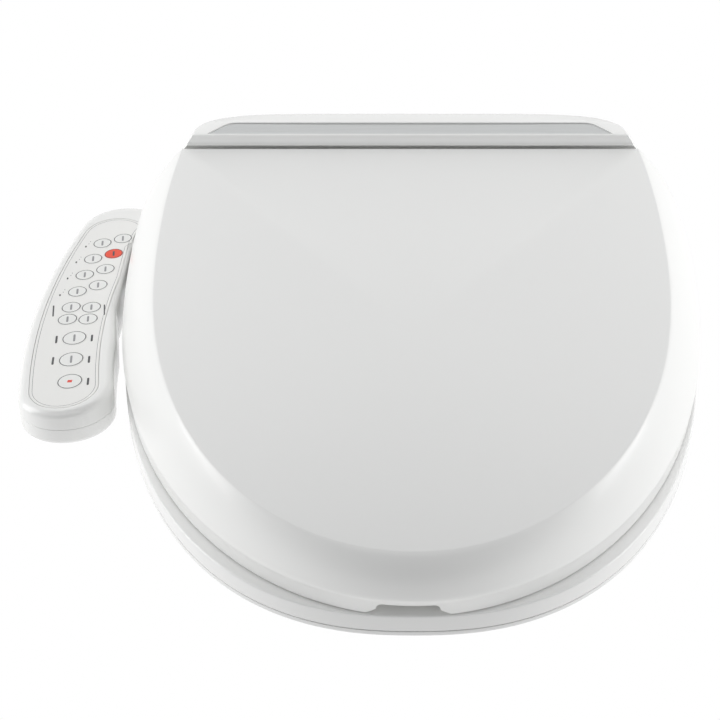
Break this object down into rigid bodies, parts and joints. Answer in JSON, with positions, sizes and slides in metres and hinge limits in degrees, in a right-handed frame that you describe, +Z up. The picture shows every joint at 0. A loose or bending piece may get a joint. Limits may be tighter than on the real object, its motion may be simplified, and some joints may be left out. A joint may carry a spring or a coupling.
{
  "type": "electric bidet seat",
  "caption": "Electric bidet seat: sloping lid over a heated ring, rear unit with spray nozzles and dryer, and a control arm at the side.",
  "frame": {"origin": "midway between the two fixing holes, on the plane of the bowl", "axes": "+X to the right of a person facing the seat, +Y to the back, +Z up"},
  "size_m": [0.4904, 0.4855, 0.134],
  "materials": {
    "white_plastic": "glossy white moulded plastic",
    "lid_plastic": "white plastic, satin on the flat panel and glossy on the bevel",
    "ring_plastic": "glossy white moulded plastic",
    "grey_strip": "fine satin brushed grey",
    "grey_plastic": "matte grey plastic",
    "dark_plastic": "matte dark moulded plastic",
    "steel": "plain satin metal",
    "brass": "turned brass",
    "white_rubber": "matte pale rubber",
    "board": "coated circuit board",
    "overlay_film": "satin printed film",
    "key_face": "satin film with a thin dark ring",
    "key_red": "orange red key"
  },
  "bodies": {
    "unit": {"base_tray": "white_plastic", "rear_housing": "white_plastic", "deck_strip": "grey_strip", "mounting_plate": "dark_plastic", "water_tank": "dark_plastic", "tank_heater": "steel", "solenoid_valve": "dark_plastic", "inlet_port": "brass", "tank_hose": "white_rubber", "main_board": "board", "nozzle_block": "white_plastic", "wash_nozzle_motor": "steel", "bidet_nozzle_motor": "steel", "fan_housing": "dark_plastic", "fan_motor": "steel", "dryer_duct": "dark_plastic", "dryer_heater": "steel", "cord_gland": "white_plastic", "hinge_pin_left": "steel", "hinge_pin_right": "steel", "arm_cover": "white_plastic", "arm_base": "white_plastic", "control_overlay": "overlay_film", "key_board": "board"},
    "ring": {"ring_top": "ring_plastic", "ring_base": "ring_plastic", "ring_heater": "steel", "ring_bumper_front_left": "white_rubber", "ring_bumper_front_right": "white_rubber", "ring_bumper_rear_left": "white_rubber", "ring_bumper_rear_right": "white_rubber"},
    "lid": {"lid_shell": "lid_plastic", "lid_buffer_left": "white_rubber", "lid_buffer_right": "white_rubber"},
    "wash_nozzle": {"wash_nozzle": "steel"},
    "bidet_nozzle": {"bidet_nozzle": "steel"},
    "fan": {"fan_wheel": "dark_plastic"},
    "flap": {"dryer_flap": "white_plastic"},
    "cartridge": {"deodoriser_cartridge": "grey_plastic"},
    "release": {"release_button": "white_plastic"},
    "key_01": {"key_01": "key_face"},
    "key_02": {"key_02": "key_face"},
    "key_03": {"key_03": "key_red"},
    "key_04": {"key_04": "key_face"},
    "key_05": {"key_05": "key_face"},
    "key_06": {"key_06": "key_face"},
    "key_07": {"key_07": "key_face"},
    "key_08": {"key_08": "key_face"},
    "key_09": {"key_09": "key_face"},
    "key_10": {"key_10": "key_face"},
    "key_11": {"key_11": "key_face"},
    "key_12": {"key_12": "key_face"},
    "key_13": {"key_13": "key_face"},
    "key_14": {"key_14": "key_face"},
    "key_15": {"key_15": "key_face"}
  },
  "joints": [
    {"name": "ring_hinge", "type": "hinge", "parent": "unit", "child": "ring", "pos_m": [0, -0.034, 0.106], "axis": [-1, 0, 0], "range_deg": [0, 95]},
    {"name": "lid_hinge", "type": "hinge", "parent": "ring", "child": "lid", "pos_m": [0, -0.034, 0.106], "axis": [1, 0, 0], "range_deg": [-98, 0]},
    {"name": "wash_nozzle_slide", "type": "slide", "parent": "unit", "child": "wash_nozzle", "axis": [0, -0.8192, -0.5736], "range_m": [0, 0.075]},
    {"name": "bidet_nozzle_slide", "type": "slide", "parent": "unit", "child": "bidet_nozzle", "axis": [0, -0.8192, -0.5736], "range_m": [0, 0.075]},
    {"name": "fan_spin", "type": "hinge", "parent": "unit", "child": "fan", "pos_m": [0.078, 0.01, 0.045], "axis": [0, 1, 0], "continuous": true},
    {"name": "flap_hinge", "type": "hinge", "parent": "unit", "child": "flap", "pos_m": [0.078, -0.0685, 0.028], "axis": [-1, 0, 0], "range_deg": [0, 35], "stiffness_Nm_per_rad": 0.004},
    {"name": "cartridge_slide", "type": "slide", "parent": "unit", "child": "cartridge", "axis": [1, 0, 0], "range_m": [0, 0.06]},
    {"name": "release_press", "type": "slide", "parent": "unit", "child": "release", "axis": [-1, 0, 0], "range_m": [0, 0.003], "stiffness_N_per_m": 500},
    {"name": "key_01_press", "type": "slide", "parent": "unit", "child": "key_01", "axis": [0.05, 0.05, -0.9975], "range_m": [0, 0.0006], "stiffness_N_per_m": 800},
    {"name": "key_02_press", "type": "slide", "parent": "unit", "child": "key_02", "axis": [0.05, 0.05, -0.9975], "range_m": [0, 0.0006], "stiffness_N_per_m": 800},
    {"name": "key_03_press", "type": "slide", "parent": "unit", "child": "key_03", "axis": [0.05, 0.05, -0.9975], "range_m": [0, 0.0006], "stiffness_N_per_m": 800},
    {"name": "key_04_press", "type": "slide", "parent": "unit", "child": "key_04", "axis": [0.05, 0.05, -0.9975], "range_m": [0, 0.0006], "stiffness_N_per_m": 800},
    {"name": "key_05_press", "type": "slide", "parent": "unit", "child": "key_05", "axis": [0.05, 0.05, -0.9975], "range_m": [0, 0.0006], "stiffness_N_per_m": 800},
    {"name": "key_06_press", "type": "slide", "parent": "unit", "child": "key_06", "axis": [0.05, 0.05, -0.9975], "range_m": [0, 0.0006], "stiffness_N_per_m": 800},
    {"name": "key_07_press", "type": "slide", "parent": "unit", "child": "key_07", "axis": [0.05, 0.05, -0.9975], "range_m": [0, 0.0006], "stiffness_N_per_m": 800},
    {"name": "key_08_press", "type": "slide", "parent": "unit", "child": "key_08", "axis": [0.05, 0.05, -0.9975], "range_m": [0, 0.0006], "stiffness_N_per_m": 800},
    {"name": "key_09_press", "type": "slide", "parent": "unit", "child": "key_09", "axis": [0.05, 0.05, -0.9975], "range_m": [0, 0.0006], "stiffness_N_per_m": 800},
    {"name": "key_10_press", "type": "slide", "parent": "unit", "child": "key_10", "axis": [0.05, 0.05, -0.9975], "range_m": [0, 0.0006], "stiffness_N_per_m": 800},
    {"name": "key_11_press", "type": "slide", "parent": "unit", "child": "key_11", "axis": [0.05, 0.05, -0.9975], "range_m": [0, 0.0006], "stiffness_N_per_m": 800},
    {"name": "key_12_press", "type": "slide", "parent": "unit", "child": "key_12", "axis": [0.05, 0.05, -0.9975], "range_m": [0, 0.0006], "stiffness_N_per_m": 800},
    {"name": "key_13_press", "type": "slide", "parent": "unit", "child": "key_13", "axis": [0.05, 0.05, -0.9975], "range_m": [0, 0.0006], "stiffness_N_per_m": 800},
    {"name": "key_14_press", "type": "slide", "parent": "unit", "child": "key_14", "axis": [0.05, 0.05, -0.9975], "range_m": [0, 0.0006], "stiffness_N_per_m": 800},
    {"name": "key_15_press", "type": "slide", "parent": "unit", "child": "key_15", "axis": [0.05, 0.05, -0.9975], "range_m": [0, 0.0006], "stiffness_N_per_m": 800}
  ]
}
